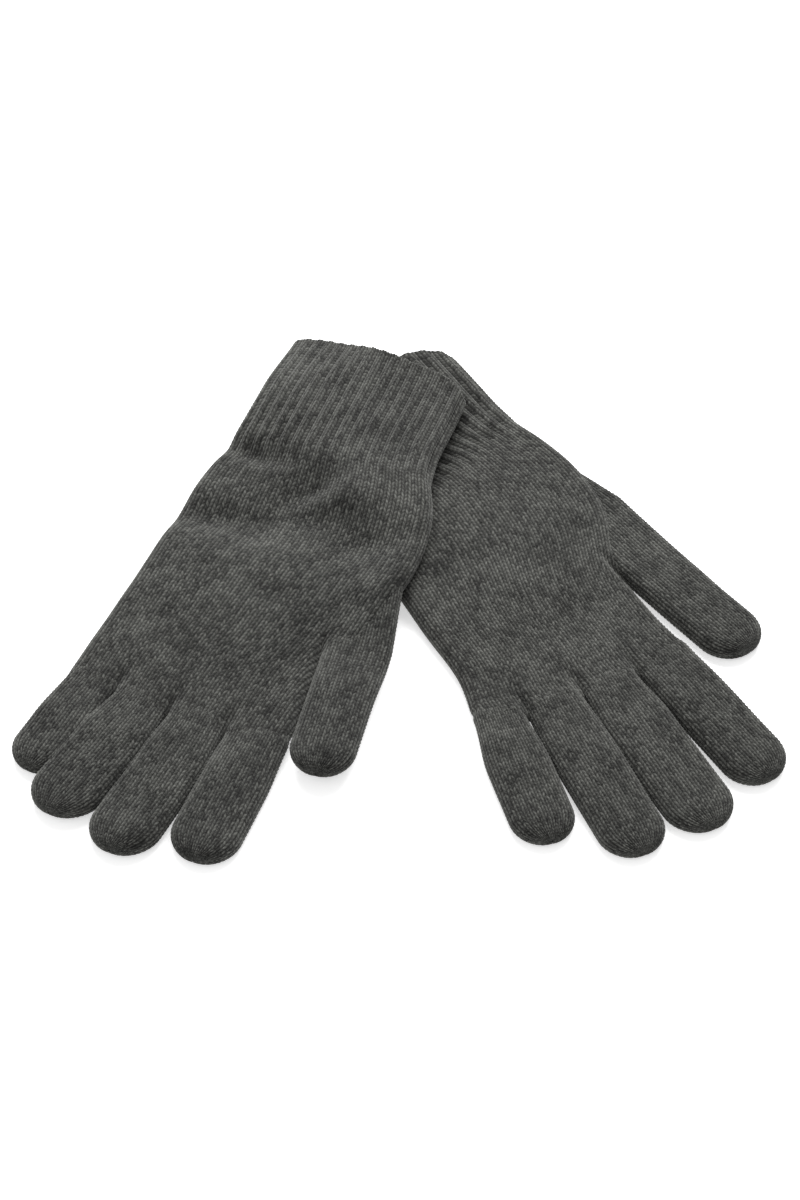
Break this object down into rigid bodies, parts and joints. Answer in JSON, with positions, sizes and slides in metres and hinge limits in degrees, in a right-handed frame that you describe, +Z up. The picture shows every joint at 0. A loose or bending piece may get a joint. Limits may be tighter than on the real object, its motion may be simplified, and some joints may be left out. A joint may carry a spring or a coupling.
{
  "type": "pair of knitted gloves",
  "caption": "Fine-knit wool gloves laid flat and fanned out, the palm-up left one resting on the right; ribbed cuffs, hollow fingers that fold at the knuckles.",
  "frame": {"origin": "middle of the pair's footprint, on the surface they lie on", "axes": "+Z up, +Y towards the wrists' side of the pair, +X towards the right-hand glove; both thumbs lie on the +X side of their gloves"},
  "size_m": [0.267, 0.2488, 0.0212],
  "materials": {
    "stockinette_knit": "soft melange wool stockinette, dark grey, lightly felted",
    "rib_knit": "soft melange wool one-by-one rib, dark grey, lightly felted",
    "seam_yarn": "dark grey wool yarn"
  },
  "bodies": {
    "root": {"right_hand": "stockinette_knit", "right_rib_cuff": "rib_knit", "right_cuff_seam_yarn": "seam_yarn", "right_finger_fork_stitches": "seam_yarn", "right_thumb_seam_yarn": "seam_yarn"},
    "left_glove": {"left_hand": "stockinette_knit", "left_cuff_seam_yarn": "seam_yarn", "left_finger_fork_stitches": "seam_yarn", "left_thumb_seam_yarn": "seam_yarn"},
    "left_cuff": {"left_rib_cuff": "rib_knit"},
    "right_thumb": {"right_thumb": "stockinette_knit", "right_thumb_tip_yarn": "seam_yarn"},
    "right_index": {"right_index_finger": "stockinette_knit", "right_index_tip_yarn": "seam_yarn"},
    "right_middle": {"right_middle_finger": "stockinette_knit", "right_middle_tip_yarn": "seam_yarn"},
    "right_ring": {"right_ring_finger": "stockinette_knit", "right_ring_tip_yarn": "seam_yarn"},
    "right_little": {"right_little_finger": "stockinette_knit", "right_little_tip_yarn": "seam_yarn"},
    "left_thumb": {"left_thumb": "stockinette_knit", "left_thumb_tip_yarn": "seam_yarn"},
    "left_index": {"left_index_finger": "stockinette_knit", "left_index_tip_yarn": "seam_yarn"},
    "left_middle": {"left_middle_finger": "stockinette_knit", "left_middle_tip_yarn": "seam_yarn"},
    "left_ring": {"left_ring_finger": "stockinette_knit", "left_ring_tip_yarn": "seam_yarn"},
    "left_little": {"left_little_finger": "stockinette_knit", "left_little_tip_yarn": "seam_yarn"}
  },
  "joints": [
    {"name": "left_glove_lift", "type": "slide", "parent": "root", "child": "left_glove", "axis": [0, 0, 1], "range_m": [0, 0.12]},
    {"name": "left_cuff_fold", "type": "hinge", "parent": "left_glove", "child": "left_cuff", "pos_m": [-0.02392, 0.05722, 0.0197], "axis": [0.9171, -0.3987, 0], "range_deg": [0, 90]},
    {"name": "right_thumb_fold", "type": "hinge", "parent": "root", "child": "right_thumb", "pos_m": [0.08843, 0.01707, 0.009], "axis": [-0.7986, -0.6018, 0], "range_deg": [0, 90]},
    {"name": "right_index_fold", "type": "hinge", "parent": "root", "child": "right_index", "pos_m": [0.09358, -0.03271, 0.009], "axis": [-0.848, -0.5299, 0], "range_deg": [0, 90]},
    {"name": "right_middle_fold", "type": "hinge", "parent": "root", "child": "right_middle", "pos_m": [0.07383, -0.04356, 0.009], "axis": [-0.9026, -0.4305, 0], "range_deg": [0, 90]},
    {"name": "right_ring_fold", "type": "hinge", "parent": "root", "child": "right_ring", "pos_m": [0.05394, -0.05244, 0.009], "axis": [-0.9259, -0.3778, 0], "range_deg": [0, 90]},
    {"name": "right_little_fold", "type": "hinge", "parent": "root", "child": "right_little", "pos_m": [0.03481, -0.05914, 0.009], "axis": [-0.9659, -0.2588, 0], "range_deg": [0, 90]},
    {"name": "left_thumb_fold", "type": "hinge", "parent": "left_glove", "child": "left_thumb", "pos_m": [-0.01552, -0.03419, 0.01618], "axis": [-0.9703, 0.2419, 0], "range_deg": [0, 90]},
    {"name": "left_index_fold", "type": "hinge", "parent": "left_glove", "child": "left_index", "pos_m": [-0.04947, -0.06937, 0.01227], "axis": [-0.9397, 0.342, 0], "range_deg": [0, 90]},
    {"name": "left_middle_fold", "type": "hinge", "parent": "left_glove", "child": "left_middle", "pos_m": [-0.07037, -0.06103, 0.01123], "axis": [-0.9239, 0.3827, 0], "range_deg": [0, 90]},
    {"name": "left_ring_fold", "type": "hinge", "parent": "left_glove", "child": "left_ring", "pos_m": [-0.0901, -0.05184, 0.0103], "axis": [-0.891, 0.454, 0], "range_deg": [0, 90]},
    {"name": "left_little_fold", "type": "hinge", "parent": "left_glove", "child": "left_little", "pos_m": [-0.10807, -0.04253, 0.0095], "axis": [-0.887, 0.4617, 0], "range_deg": [0, 90]}
  ]
}
